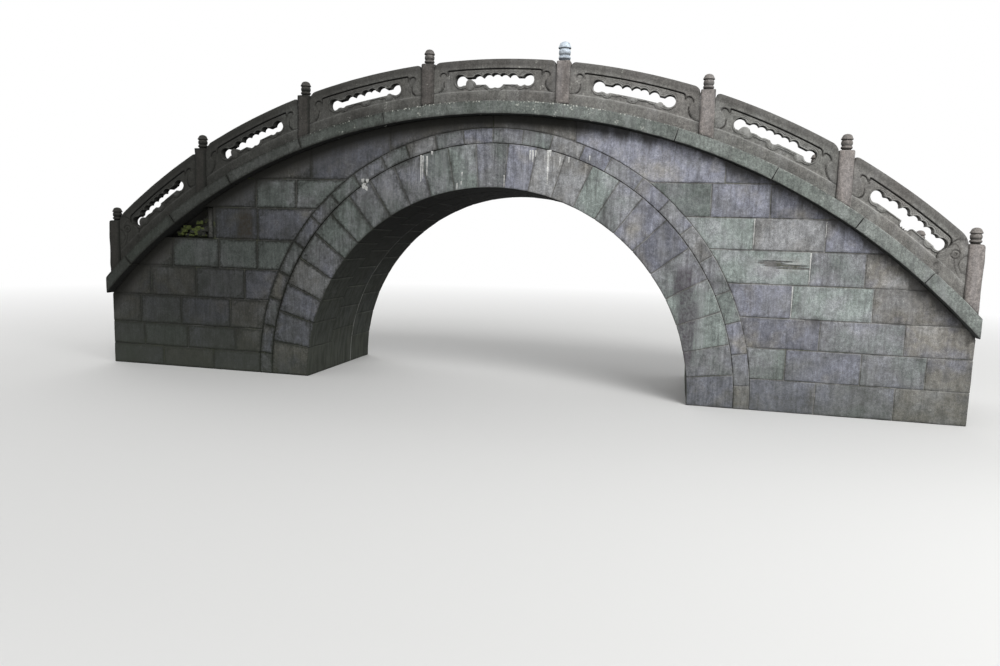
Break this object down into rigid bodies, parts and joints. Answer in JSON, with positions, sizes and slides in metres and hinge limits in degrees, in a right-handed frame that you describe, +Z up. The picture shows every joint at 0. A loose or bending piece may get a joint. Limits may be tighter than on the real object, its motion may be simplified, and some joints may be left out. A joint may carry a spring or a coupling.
{
  "type": "stone moon bridge",
  "caption": "Half-round stone arch footbridge with a steep bowed walkway, stepped flights and pierced stone balustrades between capped posts.",
  "frame": {"origin": "middle of the bridge at the level of the water, where the walls and the arch feet end", "axes": "+X along the bridge, +Y across it towards the back, +Z up"},
  "size_m": [11.14, 2.3, 4.296],
  "materials": {
    "arch_stone": "dressed grey stone, weathered, with lime runs",
    "wall_stone": "coursed ashlar in grey stone with purple and green tints",
    "coping_stone": "grey-green stone with lichen",
    "balustrade_stone": "carved grey-brown stone with worn edges",
    "paving_stone": "worn dressed slabs",
    "rubble_fill": "packed rubble and earth, out of sight"
  },
  "bodies": {
    "root": {"arch_band_back": "arch_stone", "arch_band_front": "arch_stone", "arch_ring_back": "arch_stone", "arch_ring_front": "arch_stone", "arch_ring_middle": "arch_stone", "coping_back": "coping_stone", "coping_front": "coping_stone", "crown_paving": "paving_stone", "end_wall_left": "wall_stone", "end_wall_right": "wall_stone", "fill_left": "rubble_fill", "fill_right": "rubble_fill", "panel_back_1": "balustrade_stone", "panel_back_2": "balustrade_stone", "panel_back_3": "balustrade_stone", "panel_back_4": "balustrade_stone", "panel_back_5": "balustrade_stone", "panel_back_6": "balustrade_stone", "panel_back_7": "balustrade_stone", "panel_front_1": "balustrade_stone", "panel_front_2": "balustrade_stone", "panel_front_3": "balustrade_stone", "panel_front_4": "balustrade_stone", "panel_front_5": "balustrade_stone", "panel_front_6": "balustrade_stone", "panel_front_7": "balustrade_stone", "post_back_1": "balustrade_stone", "post_back_2": "balustrade_stone", "post_back_3": "balustrade_stone", "post_back_4": "balustrade_stone", "post_back_5": "balustrade_stone", "post_back_6": "balustrade_stone", "post_back_7": "balustrade_stone", "post_back_8": "balustrade_stone", "post_front_1": "balustrade_stone", "post_front_2": "balustrade_stone", "post_front_3": "balustrade_stone", "post_front_4": "balustrade_stone", "post_front_5": "balustrade_stone", "post_front_6": "balustrade_stone", "post_front_7": "balustrade_stone", "post_front_8": "balustrade_stone", "spandrel_wall_back_left": "wall_stone", "spandrel_wall_back_right": "wall_stone", "spandrel_wall_front_left": "wall_stone", "spandrel_wall_front_right": "wall_stone", "steps_left": "paving_stone", "steps_right": "paving_stone"}
  },
  "joints": []
}
